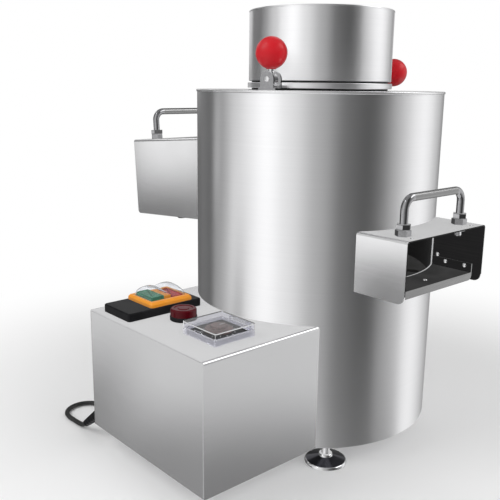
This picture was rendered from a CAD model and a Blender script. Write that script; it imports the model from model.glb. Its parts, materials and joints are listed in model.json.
import json
import math

import bpy
from mathutils import Matrix, Vector


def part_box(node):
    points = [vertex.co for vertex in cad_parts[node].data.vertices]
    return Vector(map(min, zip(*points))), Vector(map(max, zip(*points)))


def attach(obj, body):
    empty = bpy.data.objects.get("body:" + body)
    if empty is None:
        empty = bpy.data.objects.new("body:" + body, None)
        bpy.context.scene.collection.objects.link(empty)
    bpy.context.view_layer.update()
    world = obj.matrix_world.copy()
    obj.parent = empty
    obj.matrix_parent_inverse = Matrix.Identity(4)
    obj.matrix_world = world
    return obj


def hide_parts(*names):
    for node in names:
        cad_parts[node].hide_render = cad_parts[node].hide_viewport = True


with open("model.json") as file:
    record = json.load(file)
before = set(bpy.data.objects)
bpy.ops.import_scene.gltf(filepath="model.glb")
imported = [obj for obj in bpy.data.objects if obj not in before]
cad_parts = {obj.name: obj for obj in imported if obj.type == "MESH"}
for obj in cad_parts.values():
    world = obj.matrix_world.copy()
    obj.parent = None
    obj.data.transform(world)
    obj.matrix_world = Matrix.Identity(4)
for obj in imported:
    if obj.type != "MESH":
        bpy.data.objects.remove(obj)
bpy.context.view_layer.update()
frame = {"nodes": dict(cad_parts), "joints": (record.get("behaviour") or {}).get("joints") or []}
nodes = frame["nodes"]
joints = {joint["name"]: joint for joint in frame["joints"]}
drumAxis = Vector(joints["rotor_spin"]["pos_m"])
mm = 0.001


def spot(x, y, z):  # a place in millimetres from the drum's axis and the floor
    return Vector((drumAxis.x + x * mm, drumAxis.y + y * mm, z * mm))


def placedAt(x, y, z):  # a move to such a place
    return Matrix.Translation(spot(x, y, z))


def point(x, y, z):  # a place in millimetres from the origin
    return Vector((x, y, z)) * mm


def shift(x, y, z):  # a move in millimetres
    return Matrix.Translation(point(x, y, z))


def turn(degrees, axis):
    return Matrix.Rotation(math.radians(degrees), 4, axis)


def sizes(node):  # a CAD node's box in millimetres from the drum's axis and the floor
    low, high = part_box(node)
    foot = Vector((drumAxis.x, drumAxis.y, 0))
    return (low - foot) / mm, (high - foot) / mm


# Camera at the photograph's angle, in millimetres and degrees
photoView = {
    "place": (609.7, -656.3, 438.1),
    "heading": 48.19,
    "pitch": 13.17,
    "roll": 0.70,
    "focal": 704.98,
    "imageWide": 500,
    "sensor": 36,
}
cameraData = bpy.data.cameras.new("photoCamera")
cameraData.sensor_width = photoView["sensor"]
cameraData.lens = photoView["focal"] / photoView["imageWide"] * photoView["sensor"]
camera = bpy.data.objects.new("photoCamera", cameraData)
bpy.context.scene.collection.objects.link(camera)
camera.matrix_world = (placedAt(*photoView["place"]) @ turn(photoView["heading"], "Z")
                       @ turn(90 - photoView["pitch"], "X") @ turn(photoView["roll"], "Z"))
bpy.context.scene.camera = camera
bpy.context.scene.view_settings.view_transform = "Standard"
print("camera ready")


# Modelling helpers

def onlySelect(piece):
    bpy.ops.object.select_all(action="DESELECT")
    piece.select_set(True)
    bpy.context.view_layer.objects.active = piece


def added(name, operator, scale=(1, 1, 1), **settings):  # a primitive with its place applied
    bpy.ops.object.select_all(action="DESELECT")
    operator(**settings)
    bpy.context.object.name = name
    bpy.context.object.scale = scale
    bpy.ops.object.transform_apply(location=True, rotation=True, scale=True)
    return bpy.context.object


def addBlock(name, low, high):
    return added(name, bpy.ops.mesh.primitive_cube_add, high - low, size=1, location=(low + high) / 2)


def addRod(name, start, end, radius, sides=64):
    run = end - start
    return added(name, bpy.ops.mesh.primitive_cylinder_add, vertices=sides, radius=radius * mm,
                 depth=run.length, location=(start + end) / 2,
                 rotation=run.to_track_quat("Z", "Y").to_euler())


def finishWith(piece, kind, **settings):
    onlySelect(piece)
    modifier = piece.modifiers.new(kind.lower(), kind)
    for key, value in settings.items():
        setattr(modifier, key, value)
    bpy.ops.object.modifier_apply(modifier=modifier.name)
    return piece


def softenEdges(piece, width, segments=2, angle=40):  # points that fall together are made one
    finishWith(piece, "BEVEL", width=width * mm, segments=segments, limit_method="ANGLE",
               angle_limit=math.radians(angle))
    return editWhole(piece, oneSkin)


def combine(piece, operation, others):
    for other in others:
        finishWith(piece, "BOOLEAN", operation=operation, solver="EXACT", object=other)
        bpy.data.objects.remove(other, do_unlink=True)
    return piece


def cutAway(piece, *cutters):
    return combine(piece, "DIFFERENCE", cutters)


def unite(piece, *others):
    return combine(piece, "UNION", others)


def joinInto(piece, *others):
    onlySelect(piece)
    for other in others:
        other.select_set(True)
    bpy.ops.object.join()
    return piece


def put(piece, matrix):
    piece.data.transform(matrix)
    return piece


def repeated(master, places):  # copies of a master at named places, which the master makes way for
    twins = []
    for name, place in places.items():
        twin = master.copy()
        twin.data = master.data.copy()
        twin.name = name
        bpy.context.scene.collection.objects.link(twin)
        twins.append(put(twin, place))
    bpy.data.objects.remove(master, do_unlink=True)
    return twins


def smoothShade(piece, angle=35):  # smooth over gentle edges, with flat faces kept flat
    onlySelect(piece)
    bpy.ops.object.shade_smooth_by_angle(angle=math.radians(angle))
    return finishWith(piece, "WEIGHTED_NORMAL", keep_sharp=True)


def meshPiece(name, points, edges, faces):
    mesh = bpy.data.meshes.new(name)
    mesh.from_pydata(points, edges, faces)
    piece = bpy.data.objects.new(name, mesh)
    bpy.context.scene.collection.objects.link(piece)
    return piece


def editWhole(piece, *steps):  # mesh operators with their settings, each on the whole piece
    onlySelect(piece)
    bpy.ops.object.mode_set(mode="EDIT")
    for operator, settings in steps:
        bpy.ops.mesh.select_all(action="SELECT")
        operator(**settings)
    bpy.ops.object.mode_set(mode="OBJECT")
    return piece


outwards = (bpy.ops.mesh.normals_make_consistent, {"inside": False})
oneSkin = (bpy.ops.mesh.remove_doubles, {"threshold": 1e-6})


def turned(name, profile, sides=96, ring=False):  # spins a profile of (radius, height) about Z
    points = [(r * mm, 0, z * mm) for r, z in profile]
    edges = [(i, i + 1) for i in range(len(points) - 1)]
    if ring:
        edges.append((len(points) - 1, 0))
    around = {"steps": sides, "angle": 2 * math.pi, "center": (0, 0, 0), "axis": (0, 0, 1)}
    return editWhole(meshPiece(name, points, edges, []), (bpy.ops.mesh.spin, around), oneSkin, outwards)


def arc(centreU, centreV, radius, start, end, steps):
    angles = [math.radians(start + (end - start) * i / steps) for i in range(steps + 1)]
    return [(centreU + radius * math.cos(a), centreV + radius * math.sin(a)) for a in angles]


def drawn(name, outline, depth):  # an outline in the YZ plane, pulled along X
    points = [(0, u * mm, v * mm) for u, v in outline]
    pull = {"TRANSFORM_OT_translate": {"value": (depth * mm, 0, 0)}}
    return editWhole(meshPiece(name, points, [], [list(range(len(points)))]),
                     (bpy.ops.mesh.extrude_region_move, pull), outwards)


toPlan = Matrix(((0, 1, 0, 0), (0, 0, 1, 0), (1, 0, 0, 0), (0, 0, 0, 1)))


def flatPiece(name, outline, depth, low):  # an outline in the plan, pulled up from the point low
    return put(drawn(name, outline, depth), Matrix.Translation(low) @ toPlan)


def bridge(half, low, high, bend, steps):  # up one side, round two corners and down the other
    return ([(-half, low)] + arc(bend - half, high - bend, bend, 180, 90, steps)
            + arc(half - bend, high - bend, bend, 90, 0, steps) + [(half, low)])


def bentOutline(wide, tall, sheet, bend, steps=8):  # an upside-down U of bent sheet
    inside = bridge(wide / 2 - sheet, 0, tall - sheet, bend - sheet, steps)
    return bridge(wide / 2, 0, tall, bend, steps) + inside[::-1]


def roundedOutline(wide, tall, radius, steps=6):  # a rectangle with round corners, centred
    u, v = wide / 2 - radius, tall / 2 - radius
    corners = ((u, v), (-u, v), (-u, -v), (u, -v))
    return [at for i, (x, y) in enumerate(corners) for at in arc(x, y, radius, 90 * i, 90 * i + 90, steps)]


def raiseFace(piece, inset, lift):  # insets the top face and moves it up or down
    onlySelect(piece)
    bpy.ops.object.mode_set(mode="EDIT")
    bpy.ops.mesh.select_mode(type="FACE")
    bpy.ops.mesh.select_all(action="DESELECT")
    bpy.ops.object.mode_set(mode="OBJECT")
    top = max(face.center.z for face in piece.data.polygons)
    for face in piece.data.polygons:
        face.select = face.normal.z > 0.99 and face.center.z > top - 1e-5
    bpy.ops.object.mode_set(mode="EDIT")
    bpy.ops.mesh.inset(thickness=inset * mm)
    bpy.ops.transform.translate(value=(0, 0, lift * mm))
    bpy.ops.object.mode_set(mode="OBJECT")
    return piece


def roundBar(name, kind, radius, rounds):  # an empty curve with a round section
    curve = bpy.data.curves.new(name, "CURVE")
    curve.dimensions = "3D"
    curve.bevel_depth = radius * mm
    curve.bevel_resolution = rounds
    curve.use_fill_caps = True
    bar = bpy.data.objects.new(name, curve)
    bpy.context.scene.collection.objects.link(bar)
    return bar, curve.splines.new(kind)


def makeHexPiece(name, flats, tall, bore, chamfer):  # hexagon nut or collar standing on the origin
    corner = flats / 2 / math.cos(math.pi / 6)
    nut = addRod(name, point(0, 0, 0), point(0, 0, tall), corner, 6)
    softenEdges(nut, chamfer, 3, 70)
    return smoothShade(cutAway(nut, addRod("bore", point(0, 0, -10), point(0, 0, tall + 10), bore, 48)), 30)


def threadedRod(name, radius, long, pitch=1.25):  # thread as a run of ridges, hanging from the origin
    profile = [(0, 0)]
    for i in range(int(long / pitch)):
        profile += [(radius, -i * pitch - 0.1), (radius - 0.55, -(i + 0.5) * pitch)]
    profile += [(radius - 0.7, -long), (0, -long)]
    return smoothShade(turned(name, profile, 32), 20)


# Nodes for the finishes

def setInputs(tree, node, inputs):  # links what is a socket and sets what is a constant
    for socket, value in inputs.items():
        if isinstance(value, bpy.types.NodeSocket):
            tree.links.new(value, node.inputs[socket])
        else:
            node.inputs[socket].default_value = value


def addNode(tree, kind, inputs, result=0, **settings):  # a node's output
    node = tree.nodes.new("ShaderNode" + kind)
    for key, value in settings.items():
        setattr(node, key, value)
    setInputs(tree, node, inputs)
    return node.outputs[result]


def makeNoiseGroup(name, amount, result, look):  # noise whose scale is a named input, spread to 0..1
    group = bpy.data.node_groups.new(name, "ShaderNodeTree")
    for socket, kind in (("Vector", "NodeSocketVector"), (amount, "NodeSocketFloat")):
        group.interface.new_socket(socket, in_out="INPUT", socket_type=kind)
    group.interface.new_socket(result, in_out="OUTPUT", socket_type="NodeSocketFloat")
    start, end = group.nodes.new("NodeGroupInput"), group.nodes.new("NodeGroupOutput")
    noise = addNode(group, "TexNoise", {
        "Vector": start.outputs["Vector"], "Scale": start.outputs[amount], "Detail": look["detail"],
        "Roughness": look["roughness"], "Distortion": look["distortion"]}, "Fac")
    spread = {"Value": noise, "From Min": look["low"], "From Max": look["high"]}
    group.links.new(addNode(group, "MapRange", spread), end.inputs[result])
    return group


brushGrain = makeNoiseGroup("brushGrain", "Fineness", "Grain", {
    "detail": 4, "roughness": 0.7, "distortion": 0, "low": 0.25, "high": 0.75})
handMarks = makeNoiseGroup("handMarks", "Size", "Marks", {
    "detail": 5, "roughness": 0.5, "distortion": 0.6, "low": 0.42, "high": 0.72})


def startMaterial(name):
    material = bpy.data.materials.new(name)
    material.use_nodes = True
    return material, material.node_tree, material.node_tree.nodes["Principled BSDF"]


def objectVector(tree, scale=(1, 1, 1), move=(0, 0, 0)):
    place = addNode(tree, "TexCoord", {}, "Object")
    return addNode(tree, "Mapping", {"Vector": place, "Scale": scale, "Location": move})


def placeGroup(tree, group, amount, scale=(1, 1, 1)):
    return addNode(tree, "Group", {"Vector": objectVector(tree, scale), 1: amount}, node_tree=group)


def ranged(tree, value, low, high):
    return addNode(tree, "MapRange", {"Value": value, "To Min": low, "To Max": high})


def worked(tree, operation, first, second=0):  # a sum on one or two values
    return addNode(tree, "Math", {0: first, 1: second}, operation=operation)


def mixedColour(tree, factor, first, second):
    return addNode(tree, "Mix", {"Factor": factor, "A": first, "B": second}, "Result", data_type="RGBA")


def bumpFrom(tree, height, strength, distance):
    return addNode(tree, "Bump", {"Height": height, "Strength": strength, "Distance": distance * mm})


def smeared(tree, grain, marks, roughness, smear):  # roughness with its grain, and more of it on the marks
    return worked(tree, "ADD", ranged(tree, grain, *roughness), ranged(tree, marks, 0, smear))


def metalFinish(name, stretch, fineness, markSize, dark, light, roughness, smear, relief, metal=1,
                drawOut=0):
    material, tree, shader = startMaterial(name)
    grain = placeGroup(tree, brushGrain, fineness, stretch)
    marks = placeGroup(tree, handMarks, markSize)
    setInputs(tree, shader, {
        "Metallic": metal, "Base Color": mixedColour(tree, grain, (*dark, 1), (*light, 1)),
        "Roughness": smeared(tree, grain, marks, roughness, smear),
        "Normal": bumpFrom(tree, grain, relief, 0.05),
        "Anisotropic": drawOut, "Anisotropic Rotation": 0.25})
    return material


def plasticFinish(name, fineness, markSize, colour, worn, roughness, smear, relief, shine=0.5, coat=0):
    material, tree, shader = startMaterial(name)
    skin = placeGroup(tree, brushGrain, fineness)
    marks = placeGroup(tree, handMarks, markSize)
    setInputs(tree, shader, {
        "Base Color": mixedColour(tree, marks, (*colour, 1), (*worn, 1)),
        "Roughness": smeared(tree, skin, marks, roughness, smear),
        "Normal": bumpFrom(tree, skin, relief, 0.1),
        "Specular IOR Level": shine, "Coat Weight": coat, "Coat Roughness": 0.05})
    return material


def clearFinish(name, markSize, colour, roughness, clear, bending):
    material, tree, shader = startMaterial(name)
    marks = placeGroup(tree, handMarks, markSize)
    setInputs(tree, shader, {
        "Base Color": (*colour, 1), "Transmission Weight": clear, "IOR": bending,
        "Roughness": ranged(tree, marks, *roughness)})
    return material


# Brushed or polished metal: stretch and fineness of the grain, size of the marks, dark and light colour,
# roughness, smear, relief, and for some how metallic it is and how far its shine is drawn out
metals = {
    "drumSteel": ((3, 3, 900), 1.6, 9, (0.90, 0.90, 0.91), (0.95, 0.95, 0.96), (0.30, 0.34), 0.03, 0.02,
                  1, 0.85),
    "sheetSteel": ((8, 8, 700), 1.6, 14, (0.83, 0.83, 0.84), (0.88, 0.88, 0.89), (0.13, 0.16), 0.03, 0.002,
                   0.8),
    "linerSteel": ((4, 4, 300), 2, 22, (0.018, 0.018, 0.019), (0.038, 0.037, 0.037), (0.40, 0.52), 0.12,
                   0.1),
    "brightSteel": ((60, 60, 60), 6, 40, (0.76, 0.76, 0.77), (0.84, 0.84, 0.85), (0.06, 0.11), 0.05, 0.02),
    "darkChrome": ((60, 60, 60), 6, 40, (0.32, 0.32, 0.33), (0.44, 0.44, 0.45), (0.04, 0.08), 0.04, 0.02),
    "gripSteel": ((80, 4, 80), 6, 40, (0.27, 0.27, 0.27), (0.34, 0.34, 0.34), (0.18, 0.26), 0.06, 0.03),
    "blackChrome": ((40, 40, 40), 5, 45, (0.05, 0.05, 0.06), (0.08, 0.08, 0.09), (0.08, 0.13), 0.06, 0.02),
    "castAlloy": ((300, 300, 300), 3, 30, (0.34, 0.34, 0.34), (0.50, 0.49, 0.48), (0.42, 0.6), 0.1, 0.3),
    "discGrit": ((300, 300, 300), 3, 18, (0.012, 0.012, 0.012), (0.045, 0.044, 0.042), (0.5, 0.65), 0.1,
                 0.3),
    "pinBrass": ((60, 60, 60), 6, 60, (0.72, 0.56, 0.27), (0.83, 0.68, 0.38), (0.16, 0.26), 0.1, 0.02),
}
# Moulded plastic, paint or rubber: fineness of the skin, size of the marks, colour and worn colour,
# roughness, smear, relief, and for some the shine and the coat
plastics = {
    "ballRed": (220, 30, (0.58, 0.006, 0.014), (0.62, 0.009, 0.018), (0.26, 0.32), 0.05, 0.01, 0.3),
    "blackPlastic": (900, 30, (0.007, 0.007, 0.008), (0.014, 0.014, 0.016), (0.30, 0.40), 0.08, 0.12, 0.12),
    "orangePlastic": (600, 40, (0.93, 0.33, 0.012), (0.96, 0.38, 0.03), (0.26, 0.34), 0.05, 0.05),
    "startGreen": (600, 60, (0.03, 0.20, 0.11), (0.04, 0.24, 0.14), (0.24, 0.32), 0.05, 0.04),
    "stopRed": (600, 60, (0.42, 0.008, 0.012), (0.46, 0.014, 0.02), (0.24, 0.32), 0.05, 0.04),
    "buzzerRed": (500, 50, (0.085, 0.002, 0.006), (0.11, 0.003, 0.009), (0.14, 0.2), 0.06, 0.02, 0.15, 0.05),
    "dialGrey": (600, 60, (0.13, 0.075, 0.065), (0.17, 0.10, 0.09), (0.3, 0.4), 0.05, 0.05),
    "scaleWhite": (600, 60, (0.72, 0.72, 0.70), (0.66, 0.66, 0.64), (0.4, 0.5), 0.05, 0.02),
    "cordRubber": (700, 25, (0.012, 0.012, 0.012), (0.03, 0.03, 0.03), (0.42, 0.55), 0.1, 0.2),
}
# Clear or milky plastic: size of the marks, colour, roughness, how clear it is and how it bends light
covers = {
    "clearCover": (40, (0.95, 0.95, 0.99), (0.01, 0.04), 1.0, 1.34),
    "milkyCover": (40, (0.80, 0.80, 0.88), (0.06, 0.14), 0.6, 1.4),
    "clearVinyl": (60, (0.94, 0.95, 0.97), (0.02, 0.08), 1.0, 1.3),
}
finishes = {}
for makeFinish, rows in ((metalFinish, metals), (plasticFinish, plastics), (clearFinish, covers)):
    for name, row in rows.items():
        finishes[name] = makeFinish(name, *row)
print("finishes ready")

shown = []


def dress(piece, finish, slot, *replaced, body="machine"):  # its finish, body, slot and CAD nodes
    piece.data.materials.clear()
    piece.data.materials.append(finishes[finish])
    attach(piece, body)
    if replaced:
        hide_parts(*replaced)
    shown.append(piece.name)
    return piece


def dressFaces(piece, finish, chosen):  # a second finish on the faces that chosen picks
    piece.data.materials.append(finishes[finish])
    last = len(piece.data.materials) - 1
    for face in piece.data.polygons:
        if chosen(face.center, face.normal):
            face.material_index = last


# Mains lead: the hand-chosen route to the floor, then a round coil in two layers

mainsLead = {
    "thick": 6,
    "route": [
        (-152, -255, 10.5), (-157, -255, 7), (-163, -255, 4.5), (-170, -255, 3.3), (-178, -255.5, 3),
        (-187, -256, 3), (-197, -256, 3), (-209.5, -252.5, 3), (-218.5, -243.5, 3), (-222, -231, 3),
        (-218.5, -218.5, 3), (-209.5, -209.5, 3), (-197, -206, 3), (-184.5, -202.5, 3),
        (-175.5, -193.5, 3), (-172, -181, 3), (-172, -169, 3), (-172, -158, 3)],
    "coilAt": (-126, -152),
    "coilRadius": 46,
    "coilPitch": 6.6,
    "coilTurns": 6,
    "ringsPerTurn": 24,
    "tail": 24,
    "tieBearing": 90,
    "sectionSteps": 3,
    "knotSteps": 3,
}


def coilPoint(turns):
    allTurns, pitch = mainsLead["coilTurns"], mainsLead["coilPitch"]
    radius = mainsLead["coilRadius"] - pitch * min(turns, allTurns - turns)
    angle = math.radians(180 - 360 * turns)
    climb = min(max(2 * (turns - allTurns / 2) + 0.5, 0), 1)
    x, y = mainsLead["coilAt"]
    level = mainsLead["thick"] / 2 + pitch * climb
    return (x + radius * math.cos(angle), y + radius * math.sin(angle), level)


def leadPoints():
    rings = mainsLead["ringsPerTurn"]
    coil = [coilPoint(i / rings) for i in range(mainsLead["coilTurns"] * rings + 1)]
    x, y, z = coil[-1]
    tail = [(x, y + mainsLead["thick"], z), (x, y + mainsLead["tail"], z)]
    return mainsLead["route"] + coil + tail


def makeLead():
    cord, spline = roundBar("mainsCord", "BEZIER", mainsLead["thick"] / 2, mainsLead["sectionSteps"])
    cord.data.resolution_u = mainsLead["knotSteps"]
    points = leadPoints()
    spline.bezier_points.add(len(points) - 1)
    for knot, place in zip(spline.bezier_points, points):
        knot.co = spot(*place)
        knot.handle_left_type = knot.handle_right_type = "AUTO"
    return cord, sum(math.dist(a, b) for a, b in zip(points, points[1:]))


def makeTie():  # flat strap round the coil's turns
    strap = {"wide": 5, "thick": 0.8, "slack": 0.1}
    pitch, thick = mainsLead["coilPitch"], mainsLead["thick"]
    span = pitch * mainsLead["coilTurns"] / 2
    acrossIn = span + thick + 2 * strap["slack"]
    tallIn = pitch + thick + strap["slack"] - strap["thick"]
    outline = roundedOutline(acrossIn + 2 * strap["thick"], tallIn + 2 * strap["thick"], 3)
    tie = drawn("coilTie", outline, strap["wide"])
    hole = drawn("hole", roundedOutline(acrossIn, tallIn, 2.4), strap["wide"] * 3)
    cutAway(tie, put(hole, shift(-strap["wide"], 0, 0)))
    softenEdges(tie, 0.2)
    put(tie, shift(-strap["wide"] / 2, 0, 0))
    x, y = mainsLead["coilAt"]
    middle = mainsLead["coilRadius"] - span / 2
    bearing = math.radians(mainsLead["tieBearing"])
    here = spot(x + middle * math.cos(bearing), y + middle * math.sin(bearing),
                tallIn / 2 + strap["thick"])
    return put(tie, Matrix.Translation(here) @ turn(mainsLead["tieBearing"] + 90, "Z"))


glandLook = {"at": (-109, -255, 40.5), "flange": 9.5, "flangeThick": 3, "barrel": 7.5, "barrelLong": 9.2,
             "drop": math.degrees(math.atan2(3, 4)), "long": 50, "root": 7.4, "tip": 4.5,
             "grooves": 5, "plain": 10, "step": 8, "groove": 4, "deep": 0.9}


def makeGland():  # flange and barrel in the box's side, and a grooved relief that points out and down
    look = glandLook
    x, y, z = look["at"]
    thick = look["flangeThick"]
    profile = [(0, -8), (look["root"], -8), (look["root"], 0)]
    taper = (look["tip"] - look["root"]) / look["long"]
    for i in range(look["grooves"]):
        near = look["plain"] + look["step"] * i
        far = near + look["groove"]
        for along, sunk in ((near, 0), (near + 0.5, 1), (far - 0.5, 1), (far, 0)):
            profile.append((look["root"] + taper * along - sunk * look["deep"], along))
    profile += [(look["tip"], look["long"] - 0.7), (look["tip"] - 0.6, look["long"]), (0, look["long"])]
    relief = turned("glandRelief", profile, 64)
    put(relief, placedAt(x - thick, y, z) @ turn(-90 - look["drop"], "Y"))
    cutAway(relief, addBlock("behind", spot(x - thick + 0.2, y - 30, z - 40), spot(x + 30, y + 30, z + 40)))
    flange = turned("cordGland", [
        (0, -look["barrelLong"]), (look["barrel"], -look["barrelLong"]), (look["barrel"], 0),
        (look["flange"], 0), (look["flange"], thick - 0.8), (look["flange"] - 0.8, thick), (0, thick)],
        64)
    put(flange, placedAt(x, y, z) @ turn(-90, "Y"))
    return joinInto(smoothShade(flange, 40), smoothShade(relief, 40))


plugLook = {"wide": 26, "tall": 19.2, "long": 38, "relief": 26, "corner": 5,
            "grooves": 3, "grooveFrom": 14, "grooveStep": 5, "grooveHalf": 6, "grooveDeep": 1.5,
            "blade": (1.5, 6.3, 17), "apart": 6.35, "earth": 2.4, "earthUp": 6.5}


def makePlug():  # moulded plug with finger grooves, lying on the floor
    look = plugLook
    long = look["long"]
    steps = [(0.62, 0.72, 0), (0.8, 0.86, 5), (1, 1, 11), (1, 1, long - 2), (0.93, 0.9, long)]
    outline = roundedOutline(look["wide"], look["tall"], look["corner"], 5)
    points = [(u * a * mm, along * mm, v * b * mm) for a, b, along in steps for u, v in outline]
    count = len(outline)
    faces = [[i * count + k, i * count + (k + 1) % count, (i + 1) * count + (k + 1) % count,
              (i + 1) * count + k] for i in range(len(steps) - 1) for k in range(count)]
    faces += [list(range(count)), list(range((len(steps) - 1) * count, len(steps) * count))]
    body = editWhole(meshPiece("plugBody", points, [], faces), outwards)
    up = point(0, 0, look["grooveHalf"])
    for i in range(look["grooves"]):
        for side in (-1, 1):
            along = look["grooveFrom"] + look["grooveStep"] * i
            edge = point(side * (look["wide"] / 2 + 0.6), along, 0)
            cutAway(body, addRod("groove", edge - up, edge + up, look["grooveDeep"], 24))
    softenEdges(body, 0.5, 2, 35)
    radius = mainsLead["thick"] / 2 + 0.8
    profile = [(0, 0), (radius, 0)]
    for i in range(1, 9):
        profile.append((radius + 2.2 * i / 8 - (0.8 if i % 2 else 0), look["relief"] * i / 8))
    relief = turned("plugRelief", profile + [(0, look["relief"] + 2)], 40)
    put(softenEdges(relief, 0.3, 2, 12), turn(-90, "X"))
    plug = joinInto(put(body, shift(0, look["relief"], 0)), relief)
    return smoothShade(put(plug, placedAt(*leadPoints()[-1])), 40)


def makePins():
    look = plugLook
    low, high = sizes("plug_pins")
    x, _, z = leadPoints()[-1]
    thick, wide, long = look["blade"]
    start = low.y - 1
    pins = []
    for side in (-1, 1):
        middle = x + side * look["apart"]
        blade = addBlock("blade", spot(middle - thick / 2, start, z - wide / 2),
                         spot(middle + thick / 2, low.y + long, z + wide / 2))
        pins.append(softenEdges(blade, 0.45, 2))
    up = z + look["earthUp"]
    earth = addRod("earth", spot(x, start, up), spot(x, high.y, up), look["earth"], 32)
    pins.append(softenEdges(earth, 0.8, 3))
    pins[0].name = "plugPins"
    return smoothShade(joinInto(*pins), 40)


cord, cordLength = makeLead()
tie = dress(makeTie(), "cordRubber", "cord_black")
plug = dress(makePlug(), "blackPlastic", "black_plastic", "plug_body")
pins = dress(makePins(), "pinBrass", "pin_brass", "plug_pins")
dress(makeGland(), "blackPlastic", "black_plastic", "cord_gland")
dress(cord, "cordRubber", "cord_black", "cord_lead", "cord_coil")
print("mains lead", round(cordLength), "mm")


# Drum with its windows, weld seam and top plate

drumLook = {"radius": 150, "sides": 256, "wall": 1.5, "edge": 0.35, "windowSide": 3.3, "windowLow": 9,
            "windowTop": 1.5, "cableHole": 10, "cableUp": 79.3, "levels": (68, 91, 224, 252, 290, 376)}
drumRadius = drumLook["radius"]

# Each chute is drawn along X from the drum's wall, and place sets it on the drum
chutes = {
    "shell": {"place": placedAt(drumRadius, 0, 218),
              "wide": 148, "tall": 67.5, "long": 47.5, "corner": 9, "handleAt": 26,
              "flangeRivets": (0.7, 26.6), "wallRivets": (-11.8,), "floorRivets": (21.5,)},
    "nut": {"place": (placedAt(0, 0, 257) @ turn(180, "Z") @ shift(drumRadius, 0, 0)
                      @ turn(4.5, "Y")),
            "wide": 145, "tall": 111, "long": 151, "corner": 5, "handleAt": 117,
            "flangeRivets": (20, 70, 120), "wallRivets": (-10,), "floorRivets": ()},
}


def makeDrum():
    look = drumLook
    low, high = sizes("drum_shell")
    drum = added("drumSkin", bpy.ops.mesh.primitive_cylinder_add, vertices=look["sides"],
                 radius=drumRadius * mm, depth=(high.z - low.z) * mm, end_fill_type="NOTHING",
                 location=spot(0, 0, (low.z + high.z) / 2))
    finishWith(drum, "SOLIDIFY", thickness=look["wall"] * mm, offset=-1)
    for level in look["levels"]:  # rings above and below the windows keep the shading even
        editWhole(drum, (bpy.ops.mesh.bisect, {"plane_co": (0, 0, level * mm), "plane_no": (0, 0, 1)}))
    for chute in chutes.values():
        half = chute["wide"] / 2 - look["windowSide"]
        window = addBlock("window", point(-60, -half, look["windowLow"]),
                          point(60, half, chute["tall"] - look["windowTop"]))
        cutAway(drum, put(window, chute["place"]))
    up = look["cableUp"]
    cutAway(drum, addRod("cableHole", spot(0, -160, up), spot(0, -140, up), look["cableHole"], 48))
    softenEdges(drum, look["edge"], 2, 50)
    return smoothShade(drum, 30)


def drumInside(centre, normal):  # picks the drum's inner wall, which is dull and scuffed
    outward = Vector((centre.x - drumAxis.x, centre.y - drumAxis.y, 0))
    return outward.length < (drumRadius - 0.8) * mm and normal.dot(outward) < -0.5 * outward.length


def makeSeam():  # low weld bead up the drum's back
    look = {"bearing": 128, "half": 1.6, "proud": 0.35, "low": 32, "long": 396}
    radius = (look["half"] ** 2 + look["proud"] ** 2) / (2 * look["proud"])
    reach = math.degrees(math.asin(look["half"] / radius))
    bead = drawn("drumSeam", arc(0, look["proud"] - radius, radius, 90 - reach, 90 + reach, 8), look["long"])
    outward = Matrix(((0, 0, 1, 0), (0, -1, 0, 0), (1, 0, 0, 0), (0, 0, 0, 1)))
    put(bead, placedAt(0, 0, look["low"]) @ turn(look["bearing"], "Z")
        @ shift(drumRadius - 0.05, 0, 0) @ outward)
    return smoothShade(bead, 60)


def makeTopPlate():
    look = {"inner": 81.8, "outer": 151, "edge": 0.9}
    low, high = sizes("top_plate")
    plate = turned("topPlate", [(look["inner"], low.z), (look["outer"], low.z), (look["outer"], high.z),
                                (look["inner"], high.z)], 256, ring=True)
    softenEdges(plate, look["edge"], 3)
    return smoothShade(put(plate, placedAt(0, 0, 0)), 35)


drum = dress(makeDrum(), "drumSteel", "stainless", "drum_shell")
dressFaces(drum, "linerSteel", drumInside)
dress(makeSeam(), "drumSteel", "stainless")
dress(makeTopPlate(), "sheetSteel", "stainless", "top_plate")
print("drum ready")


# Feed hopper with collar, flange, neck, rolled rim and clamp ears

hopperLook = {"outer": 86.75, "wall": 1.2, "neck": 83, "flange": 88, "flangeLow": 435, "flangeHigh": 441.5,
              "shellLow": 443, "bead": 1.08, "earWide": 12, "earFrom": 85, "earTo": 118,
              "earLow": 435.3, "earHigh": 438.3}


def makeHopper():
    look = hopperLook
    low, high = sizes("hopper")
    wall, neck, outer, flange = look["wall"], look["neck"], look["outer"], look["flange"]
    inner, shell, rim = neck - wall, look["shellLow"], high.z - look["bead"]
    profile = [(inner, low.z), (neck, low.z), (neck, look["flangeLow"]), (flange - 0.6, look["flangeLow"]),
               (flange, look["flangeLow"] + 0.6), (flange, look["flangeHigh"] - 0.6),
               (flange - 0.6, look["flangeHigh"]), (neck, look["flangeHigh"]), (neck, shell),
               (outer - 0.9, shell), (outer, shell + 0.9), (outer, rim - 1)]
    profile += arc(outer - wall / 2, rim, look["bead"], -50, 230, 14)
    inside, floor = outer - wall, shell + wall
    profile += [(inside, rim - 1), (inside, floor + 0.6), (inside - 0.6, floor), (inner + 0.6, floor),
                (inner, floor - 0.6)]
    hopper = put(turned("feedHopper", profile, 224, ring=True), placedAt(0, 0, 0))
    half = look["earWide"] / 2
    for name in ("front_clamp_swing", "rear_clamp_swing"):
        axis = Vector(joints[name]["axis"])
        bearing = math.degrees(math.atan2(axis.y, axis.x))
        ear = addBlock("ear", point(look["earFrom"], -half, look["earLow"]),
                       point(look["earTo"], half, look["earHigh"]))
        put(softenEdges(ear, 0.5, 2), placedAt(0, 0, 0) @ turn(bearing, "Z"))
        unite(hopper, ear)
    return smoothShade(hopper, 38)


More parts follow.
